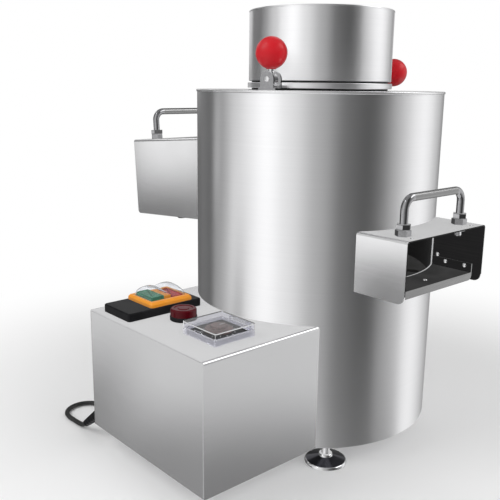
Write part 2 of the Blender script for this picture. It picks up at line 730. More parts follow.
def hopperGaps(centre, normal):  # picks the narrow gaps above and below the flange
    level = centre.z / mm
    under = level < hopperLook["flangeLow"] + 0.1
    return under or hopperLook["flangeHigh"] - 0.1 < level < hopperLook["shellLow"] + 0.1


hopper = dress(makeHopper(), "drumSteel", "hopper_steel", "hopper")
dressFaces(hopper, "linerSteel", hopperGaps)
print("hopper ready")


# Cam clamps, drawn with the pin along X at the origin

clampLook = {"cheek": 2.5, "gap": 13, "cheekRadius": 8.5, "below": 11.6, "baseTall": 2, "baseWide": 22,
             "notch": 13, "notchTall": 3.6, "hub": 6, "hubWide": 12, "stem": 3.2, "ball": 17.5,
             "lever": 28, "pin": 3, "leans": {"front": 0, "rear": 66}}


def clampPlace(joint, lean=0):
    axis = Vector(joints[joint]["axis"])
    bearing = math.degrees(math.atan2(axis.y, axis.x))
    return Matrix.Translation(Vector(joints[joint]["pos_m"])) @ turn(bearing, "Z") @ turn(lean, "X")


def makeBracket():
    look = clampLook
    radius, floor, half = look["cheekRadius"], -look["below"], look["gap"] / 2
    side = half + look["cheek"]
    outline = [(-radius - 1, floor), (-radius, floor + 4)] + arc(0, 0, radius, 180, 0, 20)
    outline += [(radius, floor + 4), (radius + 1, floor)]
    inner = put(drawn("cheek", outline, look["cheek"]), shift(-side, 0, 0))
    outer = put(drawn("cheek", outline, look["cheek"]), shift(half, 0, 0))
    notch, level = look["notch"] / 2, floor + look["baseTall"]
    cutAway(inner, addBlock("notch", point(-20, -notch, level),
                            point(0, notch, level + look["notchTall"])))
    wide = look["baseWide"] / 2
    base = addBlock("base", point(-side, -wide, floor), point(side, wide, level))
    return smoothShade(softenEdges(unite(base, inner, outer), 0.4, 2, 40), 40)


def makeLeverPin():
    reach, radius = clampLook["gap"] / 2 + clampLook["cheek"] + 1, clampLook["pin"]
    rivet = [(0, -reach), (radius, 0.6 - reach), (radius, reach - 0.6), (0, reach)]
    pin = put(turned("leverPin", rivet, 40), turn(90, "Y"))
    return smoothShade(softenEdges(pin, 0.3, 2, 25), 40)


def makeLever():
    look = clampLook
    half, bore, stem = look["hubWide"] / 2, look["pin"] + 0.05, look["stem"]
    outer = look["hub"]
    hub = turned("lever", [(bore, -half), (outer, -half), (outer, half), (bore, half)], 64, ring=True)
    softenEdges(put(hub, turn(90, "Y")), 0.5, 2)
    end = look["lever"] - look["ball"] + 12
    rod = turned("stem", [(0, 4), (4.4, 4), (4.0, 7.5), (stem, 8.6), (stem, end), (0, end)], 48)
    cutAway(rod, addRod("bore", point(-20, 0, 0), point(20, 0, 0), look["hub"] - 0.3, 64))
    return smoothShade(joinInto(hub, rod), 35)


def makeBall():
    look = clampLook
    radius, stem, centre = look["ball"], look["stem"], look["lever"]
    low = centre - radius * 0.94
    profile = [(stem + 0.3, low - 0.8), (stem + 2.2, low - 0.8), (stem + 2.6, low)]
    profile += arc(0, centre, radius, -math.degrees(math.asin(0.94)), 90, 40)[:-1] + [(0, centre + radius)]
    return smoothShade(turned("ball", profile, 72), 30)


clampParts = {
    "Bracket": (makeBracket(), "darkChrome", "bright_steel", "clamp_brackets"),
    "Pin": (makeLeverPin(), "brightSteel", "bright_steel", "clamp_pins"),
    "Lever": (makeLever(), "brightSteel", "bright_steel", "_lever"),
    "Ball": (makeBall(), "ballRed", "ball_red", "_knob"),
}
for part, (master, finish, slot, node) in clampParts.items():
    swings = node.startswith("_")
    places = {where + "Clamp" + part: clampPlace(where + "_clamp_swing", lean if swings else 0)
              for where, lean in clampLook["leans"].items()}
    for where, piece in zip(clampLook["leans"], repeated(master, places)):
        body = where + "_clamp"
        dress(piece, finish, slot, body + node if swings else node, body=body if swings else "machine")
print("clamps ready")


# Chutes: hood, tray with rivets, handle with collars and nuts, and the bumpers under the nut chute

chuteLook = {"sheet": 1.5, "bend": 3.5, "trayUp": 7.5, "apronIn": 11.5, "flange": 12, "inside": 90,
             "handleHalf": 53, "handleTall": 40, "bar": 4.5, "barBend": 13,
             "collarSteps": ((15, 7, 0), (14.2, 6, 30)), "thread": 4, "threadLong": 12,
             "nutFlats": 12.8, "nutTall": 6.4, "holeIn": 8, "holeHalf": 56.5, "hole": 2.5,
             "edge": 0.3, "rivetUp": 15.8, "wallRivetUp": 22}
bumperLook = {"radius": 7, "below": 3, "along": 55, "half": 60}


def drumCutter(place):  # the drum's space, in the chute's own frame
    cutter = addRod("drumSpace", spot(0, 0, 0), spot(0, 0, 700), drumRadius + 0.1, drumLook["sides"])
    return put(cutter, place.inverted())


def makeHood(kind, chute):
    look = chuteLook
    inside = look["inside"]
    long, wide, tall, corner = (chute[key] for key in ("long", "wide", "tall", "corner"))
    hood = drawn(kind + "ChuteHood", bentOutline(wide, tall, look["sheet"], look["bend"]), long + inside)
    put(hood, shift(-inside, 0, 0))
    block = addBlock("corner", point(long - corner, -wide, -10), point(long + 5, wide, corner))
    middle, reach = point(long - corner, 0, corner), point(0, wide * 1.5, 0)
    cutAway(block, addRod("round", middle - reach, middle + reach, corner, 64))
    cutAway(hood, block, drumCutter(chute["place"]))
    up = Vector((0, 0, tall * mm))
    holes = ((chute["handleAt"], look["handleHalf"], look["thread"] + 0.1),
             (long - look["holeIn"], look["holeHalf"], look["hole"]))
    for along, half, radius in holes:
        for side in (-1, 1):
            at = point(along, side * half, tall / 2)
            cutAway(hood, addRod("hole", at, at + up, radius, 32))
    softenEdges(hood, look["edge"], 2, 50)
    return smoothShade(put(hood, chute["place"]), 35)


def hoodInside(chute):  # picks the inner faces, which are dull
    back = chute["place"].inverted()
    near = 0.6 * chuteLook["sheet"]

    def chosen(centre, normal):
        at = (back @ centre) / mm
        return abs(at.y) < chute["wide"] / 2 - near and at.z < chute["tall"] - near
    return chosen


def makeTray(kind, chute):
    look = chuteLook
    sheet, inside, up = look["sheet"], look["inside"], look["trayUp"]
    half = chute["wide"] / 2 - sheet - 0.1
    apron = chute["long"] - look["apronIn"]
    channel = bentOutline(2 * half, look["flange"], sheet, 2.5)
    tray = drawn(kind + "ChuteTray", [(u, look["flange"] - v) for u, v in channel], apron + inside)
    put(tray, shift(-inside, 0, up))
    corner = up * 0.8
    lip = [(-half, up + sheet)] + arc(corner - half, corner, corner, 180, 270, 8)
    lip += arc(half - corner, corner, corner, 270, 360, 8) + [(half, up + sheet)]
    unite(tray, put(drawn("lip", lip, sheet), shift(apron - sheet, 0, 0)))
    cutAway(tray, drumCutter(chute["place"]))
    softenEdges(tray, look["edge"], 2, 50)
    return smoothShade(put(tray, chute["place"]), 35)


def trayLip(chute):  # picks the lip's front, which is bare steel
    back = chute["place"].inverted()
    apron = chute["long"] - chuteLook["apronIn"]
    return lambda centre, normal: (back @ centre).x / mm > apron - 0.4


def makeRivets(kind, chute):
    look = chuteLook
    dome = [(0, -0.6), (2.2, -0.6), (2.4, 0.2), (1.9, 0.9), (1, 1.3), (0, 1.4)]
    master = smoothShade(turned("rivet", dome, 24), 50)
    wall = chute["wide"] / 2 - look["sheet"]
    places = [shift(along, 0, look["trayUp"] + look["sheet"]) for along in chute["floorRivets"]]
    for side in (-1, 1):
        face = turn(90 * side, "X")
        for along in chute["flangeRivets"]:
            places.append(shift(along, side * (wall - 0.1 - look["sheet"]), look["rivetUp"]) @ face)
        for along in chute["wallRivets"]:
            places.append(shift(along, side * wall, look["wallRivetUp"]) @ face)
    named = {kind + "Rivet%d" % i: chute["place"] @ place for i, place in enumerate(places)}
    rivets = joinInto(*repeated(master, named))
    rivets.name = kind + "ChuteRivets"
    return rivets


def makeHandle(kind, chute):
    look = chuteLook
    at, top, half, bend = chute["handleAt"], chute["tall"], look["handleHalf"], look["barBend"]
    high = top + look["handleTall"]
    bar, spline = roundBar(kind + "ChuteHandle", "POLY", look["bar"], 6)
    outline = bridge(half, top, high, bend, 12)
    spline.points.add(len(outline) - 1)
    for knot, (u, v) in zip(spline.points, outline):
        knot.co = (*point(at, u, v), 1)
    onlySelect(bar)
    bpy.ops.object.convert(target="MESH")
    bar = smoothShade(bpy.context.object, 40)
    thread = threadedRod("thread", look["thread"], look["threadLong"] + look["sheet"] + 0.5)
    ends = repeated(thread, {"thread%d" % side: shift(at, side * half, top + 0.5) for side in (-1, 1)})
    return put(joinInto(bar, *ends), chute["place"])


def handleGrip(chute):  # picks the straight of the handle, which hands have dulled
    back = chute["place"].inverted()
    level = chute["tall"] + chuteLook["handleTall"] - chuteLook["bar"] - 0.5
    reach = chuteLook["handleHalf"] - chuteLook["barBend"]

    def chosen(centre, normal):
        at = (back @ centre) / mm
        return abs(at.y) < reach and at.z > level
    return chosen


def makeCollar():  # two nuts locked against each other, turned apart
    steps, level = [], 0
    for flats, tall, angle in chuteLook["collarSteps"]:
        step = makeHexPiece("collar", flats, tall, chuteLook["bar"] + 0.1, 0.7)
        steps.append(put(step, shift(0, 0, level) @ turn(angle, "Z")))
        level += tall
    return joinInto(*steps)


handleFixings = {
    "Collar": (makeCollar(), lambda tall: tall, "_chute_collars"),
    "Nut": (makeHexPiece("nut", chuteLook["nutFlats"], chuteLook["nutTall"], chuteLook["thread"] + 0.1, 0.7),
            lambda tall: tall - chuteLook["sheet"] - chuteLook["nutTall"], "_chute_nuts"),
}
for kind, chute in chutes.items():
    hood = dress(makeHood(kind, chute), "sheetSteel", "stainless", kind + "_chute_hood")
    dressFaces(hood, "linerSteel", hoodInside(chute))
    tray = dress(makeTray(kind, chute), "linerSteel", "stainless", kind + "_chute_tray")
    dressFaces(tray, "gripSteel", trayLip(chute))
    dress(makeRivets(kind, chute), "brightSteel", "bright_steel")
    handle = dress(makeHandle(kind, chute), "darkChrome", "bright_steel", kind + "_chute_handle")
    dressFaces(handle, "gripSteel", handleGrip(chute))
for part, (master, level, node) in handleFixings.items():
    places = {}
    for kind, chute in chutes.items():
        for side, end in ((-1, "Front"), (1, "Rear")):
            at = shift(chute["handleAt"], side * chuteLook["handleHalf"], level(chute["tall"]))
            places[kind + part + end] = chute["place"] @ at
    for name, piece in zip(places, repeated(master, places)):
        kind = "shell" if name.startswith("shell") else "nut"
        dress(piece, "darkChrome", "bright_steel", kind + node)


def makeBumper():
    radius, low, high = bumperLook["radius"], -bumperLook["below"], chuteLook["trayUp"]
    profile = [(0, low), (radius - 2.5, low)] + arc(radius - 2.5, low + 2.5, 2.5, -80, 0, 6)
    profile += [(radius, high - 0.6), (radius - 0.6, high), (0, high)]
    return smoothShade(turned("bumper", profile, 48), 50)


bumperPlaces = {}
for side, end in ((-1, "Rear"), (1, "Front")):
    across = side * bumperLook["half"]
    bumperPlaces["nutChuteBumper" + end] = chutes["nut"]["place"] @ shift(bumperLook["along"], across, 0)
for piece in repeated(makeBumper(), bumperPlaces):
    dress(piece, "cordRubber", "seal_rubber", "nut_chute_bumpers")
print("chutes ready")


# Control box

boxLook = {"sheet": 1.2, "bend": 3.5, "edge": 0.3, "gap": 0.35, "backIn": 75, "switchHole": (43, 90),
           "timerHole": (46, 46), "buzzerHole": 11.1}
boxLow, boxHigh = sizes("box_cover")
boxTop = boxHigh.z
switchAt = (-64, -207)
buzzerAt = (-9, -203)
timerAt = (57, -205)


def plateHole(at, wide, long):  # a straight-sided opening through the box's top
    x, y = at
    return addBlock("hole", spot(x - wide / 2, y - long / 2, boxTop - 5),
                    spot(x + wide / 2, y + long / 2, boxTop + 5))


def makeCover():
    look = boxLook
    outline = bentOutline(boxHigh.x - boxLow.x, boxTop - boxLow.z, look["sheet"], look["bend"])
    cover = drawn("boxCover", outline, -boxLow.y - look["backIn"])
    put(cover, placedAt(0, -look["backIn"], boxLow.z) @ turn(-90, "Z"))
    cutAway(cover, drumCutter(Matrix()))
    cutAway(cover, plateHole(switchAt, *look["switchHole"]), plateHole(timerAt, *look["timerHole"]))
    low, high = spot(*buzzerAt, boxTop - 5), spot(*buzzerAt, boxTop + 5)
    cutAway(cover, addRod("hole", low, high, look["buzzerHole"], 48))
    x, y, z = glandLook["at"]
    cutAway(cover, addRod("hole", spot(x - 5, y, z), spot(x + 5, y, z), glandLook["barrel"] + 0.1, 48))
    softenEdges(cover, look["edge"], 2, 50)
    return smoothShade(cover, 35)


def makeFront():
    sheet, gap = boxLook["sheet"], boxLook["gap"]
    half = (boxHigh.x - boxLow.x) / 2 - sheet - gap
    tall = boxTop - boxLow.z - sheet - gap
    bend = boxLook["bend"] - sheet
    panel = drawn("boxFront", bridge(half, 0, tall, bend, 6), sheet)
    put(panel, placedAt(0, sizes("box_front")[0].y + sheet, boxLow.z) @ turn(-90, "Z"))
    return smoothShade(softenEdges(panel, 0.45, 3, 50), 35)


dress(makeCover(), "sheetSteel", "stainless", "box_cover")
dress(makeFront(), "sheetSteel", "stainless", "box_front")
print("control box ready")


# Switch: base, orange frame with its divider, two buttons and the clear boot

switchLook = {
    "wide": 55, "long": 102, "tall": 9.5, "corner": 3.5, "step": 1.2,
    "frameWide": 52, "frameLong": 59, "frameTall": 6, "frameCorner": 4, "frameSlope": 2.5, "frameOff": 9.5,
    "windowWide": 37.2, "windowLong": 48.2, "dividerWide": 32, "dividerLong": 9.4, "dividerTall": 8.5,
    "buttonWide": 34, "buttonLong": 17.5, "buttonCorner": 2, "apart": 13.75, "play": 0.6,
    "bootWide": 36.6, "bootLong": 47.6, "bootTall": 18.2, "bootSkin": 0.6, "bootGrid": (40, 56), "nub": 3}
frameAt = (switchAt[0], switchAt[1] + switchLook["frameOff"])


def frameHole(name, wide, long, offset=0):  # an opening through the switch, offset along it
    x, y = frameAt
    return addBlock(name, spot(x - wide / 2, y + offset - long / 2, boxTop - 5),
                    spot(x + wide / 2, y + offset + long / 2, boxTop + 40))


def makeSwitchBase():
    look = switchLook
    outline = roundedOutline(look["wide"], look["long"], look["corner"], 8)
    base = flatPiece("switchBase", outline, look["tall"] - look["step"], spot(*switchAt, boxTop))
    raiseFace(base, look["step"], look["step"])
    wide, long = look["buttonWide"] + look["play"], look["buttonLong"] + look["play"]
    for side in (-1, 1):
        cutAway(base, frameHole("window", wide, long, side * look["apart"]))
    return smoothShade(softenEdges(base, 0.4, 3, 30), 40)


def makeSwitchFrame():
    look = switchLook
    low = boxTop + look["tall"]
    outline = roundedOutline(look["frameWide"], look["frameLong"], look["frameCorner"], 6)
    ring = flatPiece("switchFrame", outline, look["frameTall"] - look["frameSlope"], spot(*frameAt, low))
    raiseFace(ring, look["frameSlope"], look["frameSlope"])
    cutAway(ring, frameHole("window", look["windowWide"], look["windowLong"]))
    softenEdges(ring, 0.5, 3, 30)
    x, y = frameAt
    wide, long = look["dividerWide"] / 2, look["dividerLong"] / 2
    divider = addBlock("divider", spot(x - wide, y - long, low),
                       spot(x + wide, y + long, low + look["dividerTall"]))
    return smoothShade(joinInto(ring, softenEdges(divider, 0.8, 3)), 40)


def makeButton(name, side):
    look = switchLook
    low, high = sizes("start_button" if side < 0 else "stop_button")
    outline = roundedOutline(look["buttonWide"], look["buttonLong"], look["buttonCorner"], 6)
    at = (frameAt[0], frameAt[1] + side * look["apart"])
    button = flatPiece(name, outline, high.z - low.z - 0.8, spot(*at, low.z))
    raiseFace(button, 0.8, 0.8)
    raiseFace(button, 2.0, 0)
    raiseFace(button, 1.2, -0.6)
    return smoothShade(softenEdges(button, 0.3, 2, 25), 40)


def bootRise(u, v):  # height of the skin over its floor: steep walls and a bubble over each button
    look = switchLook
    wall = max((1 - abs(u) ** 16) * (1 - abs(v) ** 16), 0) ** 0.3
    along = 2 * abs(v) - 1
    bubble = 0.66 + 0.34 * (1 - abs(u) ** 2.5) * (1 - abs(along) ** 2.5)
    return look["bootTall"] * wall * bubble


def makeBoot():
    look = switchLook
    across, lengthwise = look["bootGrid"]
    halfWide, halfLong = look["bootWide"] / 2, look["bootLong"] / 2
    low = boxTop + look["tall"]
    x, y = frameAt
    points = []
    for j in range(lengthwise + 1):
        for i in range(across + 1):
            u, v = (math.sin(math.pi * (k / n - 0.5)) for k, n in ((i, across), (j, lengthwise)))
            points.append(spot(x + u * halfWide, y + v * halfLong, low + bootRise(u, v)))
    row = across + 1
    faces = [[j * row + i, j * row + i + 1, (j + 1) * row + i + 1, (j + 1) * row + i]
             for j in range(lengthwise) for i in range(across)]
    boot = meshPiece("switchBoot", points, [], faces)
    finishWith(boot, "SOLIDIFY", thickness=look["bootSkin"] * mm, offset=-1)
    radius = look["nub"]
    nub = turned("nub", [(0, -1), (radius, -1), (radius, 0.2), (radius - 0.6, 0.8), (0, 0.8)], 32)
    put(nub, placedAt(x, y - look["apart"], low + look["bootTall"]))
    return smoothShade(joinInto(boot, nub), 60)


dress(makeSwitchBase(), "blackPlastic", "black_plastic", "switch_base")
dress(makeSwitchFrame(), "orangePlastic", "orange_frame", "switch_frame")
dress(makeButton("startButton", -1), "startGreen", "start_green", "start_button", body="start")
dress(makeButton("stopButton", 1), "stopRed", "stop_red", "stop_button", body="stop")
dress(makeBoot(), "clearVinyl", "clear_boot", "switch_boot")
print("switch ready")


# Buzzer head

buzzerLook = {"radius": 15.5, "ring": 5, "cap": 8.5, "capIn": 0.5, "round": 2.4, "sunk": 0.9}


def makeBuzzerRing():
    radius, tall = buzzerLook["radius"], buzzerLook["ring"]
    ring = turned("buzzerRing", [(0, 0), (radius, 0), (radius, tall - 0.2), (radius - 0.6, tall), (0, tall)],
                  96)
    put(softenEdges(ring, 0.5, 3, 35), placedAt(*buzzerAt, boxTop))
    return smoothShade(ring, 40)


def makeBuzzerCap():
    radius, top, bend = buzzerLook["radius"] - buzzerLook["capIn"], buzzerLook["cap"], buzzerLook["round"]
    floor = top - buzzerLook["sunk"]
    profile = [(0, 0), (radius, 0), (radius, top - bend)] + arc(radius - bend, top - bend, bend, 0, 90, 8)
    profile += [(radius * 0.72, top), (radius * 0.68, floor), (radius * 0.45, floor),
                (radius * 0.4, top - 0.1), (0, top)]
    cap = turned("buzzerCap", profile, 96)
    put(softenEdges(cap, 0.25, 2, 40), placedAt(*buzzerAt, boxTop + buzzerLook["ring"]))
    return smoothShade(cap, 40)


dress(makeBuzzerRing(), "blackPlastic", "black_plastic", "buzzer_ring")
dress(makeBuzzerCap(), "buzzerRed", "buzzer_red", "buzzer_cap")


# Timer under its clear hinged cover

timerLook = {
    "face": 48, "faceTall": 5, "sunk": 0.8, "housing": 45, "deep": 80, "coverWide": 56, "coverLong": 55,
    "frameTall": 7, "lidLow": 7.3, "lidTall": 7, "wall": 1.6, "notch": 8, "notchTall": 1.4, "catch": 6,
    "dial": 15, "dialTall": 5, "dialGap": 0.3, "grip": 0.62, "flutes": 18, "flute": 0.75,
    "pointerHalf": 0.5, "pointerFrom": 1, "pointerTo": 8, "pointerProud": 0.15,
    "marks": 13, "markFrom": 16.2, "markLong": 3.2, "markShort": 1.8, "markHalf": 0.35, "markTall": 0.25,
    "markSweep": 300, "markStart": -60,
    "knuckle": 2.4, "hingeOut": 2.8, "hingeUp": 8.2, "hingeHalf": 11.5, "lug": 4, "pin": 0.95}


def timerSpot(x, y, up):  # a place from the middle of the timer and the box's top
    return spot(timerAt[0] + x, timerAt[1] + y, boxTop + up)


def timerBlock(name, halfWide, halfLong, low, high):
    return addBlock(name, timerSpot(-halfWide, -halfLong, low), timerSpot(halfWide, halfLong, high))


def makeTimerFace():
    look = timerLook
    outline = roundedOutline(look["face"], look["face"], 3, 6)
    face = flatPiece("timerFace", outline, look["faceTall"], timerSpot(0, 0, 0))
    raiseFace(face, 3, 0)
    raiseFace(face, 0.8, -look["sunk"])
    half = look["housing"] / 2
    housing = softenEdges(timerBlock("housing", half, half, -look["deep"], 0), 0.8, 2)
    return smoothShade(joinInto(softenEdges(face, 0.5, 3, 35), housing), 40)


def makeDialMarks():  # plain ticks round the dial
    look = timerLook
    near, half = look["markFrom"], look["markHalf"]
    here = Matrix.Translation(timerSpot(0, 0, look["faceTall"] - look["sunk"]))
    step = look["markSweep"] / (look["marks"] - 1)
    ticks = []
    for i in range(look["marks"]):
        far = near + look["markShort" if i % 3 else "markLong"]
        tick = addBlock("tick", point(near, -half, 0), point(far, half, look["markTall"]))
        ticks.append(put(softenEdges(tick, 0.08, 1), here @ turn(step * i + look["markStart"], "Z")))
    ticks[0].name = "dialMarks"
    return joinInto(*ticks)


def makeDial():
    look = timerLook
    radius, tall = look["dial"], look["dialTall"]
    grip = radius * look["grip"]
    profile = [(0, 0), (radius, 0), (radius, tall * 0.3), (radius - 0.8, tall * 0.4),
               (grip + 0.6, tall * 0.44), (grip, tall * 0.55), (grip, tall - 0.6), (grip - 0.6, tall),
               (0, tall)]
    dial = turned("timerDial", profile, 72)
    for i in range(look["flutes"]):
        bearing = 2 * math.pi * i / look["flutes"]
        edge = Vector((math.cos(bearing), math.sin(bearing), 0)) * (grip + 0.35) * mm
        low, high = Vector((0, 0, tall * 0.52 * mm)), Vector((0, 0, (tall + 1) * mm))
        cutAway(dial, addRod("flute", edge + low, edge + high, look["flute"], 12))
    softenEdges(dial, 0.15, 1, 40)
    up = look["faceTall"] + look["dialGap"]
    return smoothShade(put(dial, Matrix.Translation(timerSpot(0, 0, up))), 40)


def makePointer():
    look = timerLook
    up = look["faceTall"] + look["dialGap"] + look["dialTall"]
    half, proud = look["pointerHalf"], look["pointerProud"]
    pointer = addBlock("dialPointer", timerSpot(-half, look["pointerFrom"], up - proud),
                       timerSpot(half, look["pointerTo"], up + proud))
    return softenEdges(pointer, 0.1, 1)


def makeCoverFrame():
    look = timerLook
    wide, long = look["coverWide"], look["coverLong"]
    ring = flatPiece("coverFrame", roundedOutline(wide, long, 2, 4), look["frameTall"], timerSpot(0, 0, 0))
    half = look["face"] / 2 + 0.3
    cutAway(ring, timerBlock("window", half, half, -5, 20))
    acrossHalf, alongHalf = wide / 2 - look["notch"], long / 2 - look["notch"]
    cutAway(ring, timerBlock("notch", acrossHalf, long, -1, look["notchTall"]))
    cutAway(ring, timerBlock("notch", wide, alongHalf, -1, look["notchTall"]))
    inner = timerBlock("foot", wide / 2 - 1, long / 2 - 1, 0, look["notchTall"])
    unite(ring, cutAway(inner, timerBlock("window", half, half, -5, 20)))
    out, up, reach = long / 2 + look["hingeOut"], look["hingeUp"], look["lug"] / 2
    for side in (-1, 1):
        x = side * (look["hingeHalf"] + reach + 0.3)
        near, far = x - reach, x + reach
        lug = addRod("lug", timerSpot(near, out, up), timerSpot(far, out, up), look["knuckle"], 32)
        web = addBlock("web", timerSpot(near, long / 2 - 1, 2),
                       timerSpot(far, out + look["knuckle"], up - 2))
        unite(ring, web, lug)
    return smoothShade(softenEdges(ring, 0.3, 2, 40), 40)


def makeLid():
    look = timerLook
    wide, long, low, wall = look["coverWide"], look["coverLong"], look["lidLow"], look["wall"]
    lid = flatPiece("timerLid", roundedOutline(wide, long, 2, 4), look["lidTall"], timerSpot(0, 0, low))
    roof = low + look["lidTall"] - wall
    cutAway(lid, timerBlock("hollow", wide / 2 - wall, long / 2 - wall, low - 5, roof))
    half, out, up, radius = look["hingeHalf"], long / 2 + look["hingeOut"], look["hingeUp"], look["knuckle"]
    web = addBlock("web", timerSpot(-half, long / 2 - 1, up), timerSpot(half, out, up + radius - 0.3))
    knuckle = addRod("knuckle", timerSpot(-half, out, up), timerSpot(half, out, up), radius, 32)
    reach = look["catch"]
    catch = addBlock("catch", timerSpot(-reach, -long / 2 - 0.9, low + 0.6),
                     timerSpot(reach, 0.5 - long / 2, low + 2.6))
    unite(lid, web, knuckle, catch)
    return smoothShade(softenEdges(lid, 0.45, 3, 40), 40)


def makeHingePin():
    low, high = sizes("timer_hinge_pin")
    _, y, z = (low + high) / 2
    pin = addRod("timerHingePin", spot(low.x, y, z), spot(high.x, y, z), timerLook["pin"], 24)
    return smoothShade(softenEdges(pin, 0.3, 2), 40)


dress(makeTimerFace(), "blackPlastic", "black_plastic", "timer_body")
dress(makeDialMarks(), "scaleWhite", "dial_grey")
dress(makeDial(), "dialGrey", "dial_grey", "timer_dial", body="dial")
dress(makePointer(), "scaleWhite", "dial_grey", body="dial")
dress(makeCoverFrame(), "milkyCover", "clear_cover", "timer_frame")
dress(makeLid(), "clearCover", "clear_cover", "timer_lid", body="lid")
dress(makeHingePin(), "brightSteel", "bright_steel", "timer_hinge_pin")
print("buzzer and timer ready")


# Levelling feet

footLook = {"places": ((-100, -75), (100, -75), (0, 125)), "pad": 25, "padTall": 11, "edge": 2.5, "rim": 1.5,
            "shoulder": (9.5, 8), "neck": 8, "stud": 5, "studTop": 46, "nutFlats": 17, "nutTall": 8,
            "nutLevels": (23, 34)}


def makePad():
    look = footLook
    radius, tall, edge, rim = look["pad"], look["padTall"], look["edge"], look["rim"]
    shoulder, up = look["shoulder"]
    profile = [(0, 0.4), (radius - 3, 0.4), (radius - 2, 0), (radius - 0.8, 0), (radius, 0.8), (radius, rim)]
    profile += arc(radius - edge, rim, edge, 10, 75, 7)
    neck = look["neck"]
    profile += [(shoulder, up), (neck + 0.5, up + 0.3), (neck, up + 0.9), (neck, tall - 0.4),
                (neck - 0.5, tall), (0, tall)]
    return smoothShade(turned("footPad", profile, 80), 30)


def padRim(centre, normal):  # picks the rolled edge and the neck, which are bright
    level = centre.z / mm
    return level < footLook["rim"] + footLook["edge"] - 0.3 or level > footLook["shoulder"][1] + 0.2


footStud = threadedRod("footStud", footLook["stud"], footLook["studTop"] - footLook["padTall"] + 1, 1.5)
put(footStud, shift(0, 0, footLook["studTop"]))
footNut = makeHexPiece("footNut", footLook["nutFlats"], footLook["nutTall"], footLook["stud"] + 0.1, 0.9)
atFeet = [placedAt(x, y, 0) for x, y in footLook["places"]]
for pad in repeated(makePad(), {"footPad%d" % i: at for i, at in enumerate(atFeet, 1)}):
    dress(pad, "blackChrome", "foot_black", "foot_pads")
    dressFaces(pad, "brightSteel", padRim)
for stud in repeated(footStud, {"footStud%d" % i: at for i, at in enumerate(atFeet, 1)}):
    dress(stud, "brightSteel", "bright_steel", "foot_studs")
nutPlaces = {"footNut%d_%d" % (i, level): at @ shift(0, 0, level)
             for i, at in enumerate(atFeet, 1) for level in footLook["nutLevels"]}
for nut in repeated(footNut, nutPlaces):
    dress(nut, "brightSteel", "bright_steel", "foot_nuts")
print("feet ready")


# Peeling disc and its nut, seen through the hopper and the chutes

discLook = {
    "radius": 144, "thick": 6, "top": 214, "hub": 24, "hubLow": 199, "bore": 9.05, "ridges": 6, "ridge": 5,
    "nutFlats": 29.6, "nutTall": 8, "crownTop": 12}


def makeDisc():
    look = discLook
    radius, top, hub, bore = look["radius"], look["top"], look["hub"], look["bore"]
    low = top - look["thick"]
    disc = turned("peelingDisc", [(bore, look["hubLow"]), (hub, look["hubLow"]), (hub, low), (radius, low),
                                  (radius, top - 1.5), (radius - 1.5, top), (bore, top)], 160, ring=True)
    up = top - look["ridge"] / 2
    master = addRod("ridge", point(hub + 6, 0, up), point(radius - 8, 0, up), look["ridge"], 40)
    softenEdges(master, 3, 5, 40)
    step = 360 / look["ridges"]
    places = {"ridge%d" % i: turn((i + 0.5) * step, "Z") for i in range(look["ridges"])}
    unite(disc, *repeated(master, places))
    softenEdges(disc, 0.4, 2, 45)
    return smoothShade(put(disc, placedAt(0, 0, 0)), 40)


def makeDiscNut():
    look = discLook
    tall, top = look["nutTall"], look["crownTop"]
    nut = makeHexPiece("discNut", look["nutFlats"], tall, look["bore"], 1.2)
    crown = turned("crown", [(0, top - 2.8), (0, top), (8, top - 0.4), (12, top - 2.4), (13.3, tall - 0.5),
                             (9.2, tall - 0.5), (9.2, top - 2.8)], 64)
    return put(joinInto(nut, smoothShade(crown, 40)), placedAt(0, 0, look["top"]))


dress(makeDisc(), "discGrit", "disc_cast", "peeling_disc", body="rotor")
dress(makeDiscNut(), "brightSteel", "bright_steel", "disc_nut", body="rotor")


# Finishes for the CAD nodes that stay

keptFinishes = {
    "base_plate": "sheetSteel", "motor_plate": "sheetSteel", "box_base": "sheetSteel",
    "motor_body": "castAlloy", "run_capacitor": "castAlloy", "motor_bolts": "brightSteel",
    "motor_shaft": "brightSteel", "shaft_seal": "cordRubber", "switch_body": "blackPlastic",
    "buzzer_barrel": "blackPlastic",
}
for name, finish in keptFinishes.items():
    nodes[name].data.materials.clear()
    nodes[name].data.materials.append(finishes[finish])
print("inner parts ready")

# The steel mirrors only the studio, as in the photograph, and none of its neighbours but these
neighboursSeen = ("feedHopper", "topPlate")
for piece in [bpy.data.objects[name] for name in shown] + [nodes[name] for name in keptFinishes]:
    piece.visible_glossy = piece.name in neighboursSeen


# Studio: pale floor that fades to white, soft lamps, and a wall of bands and cards for the metal to mirror

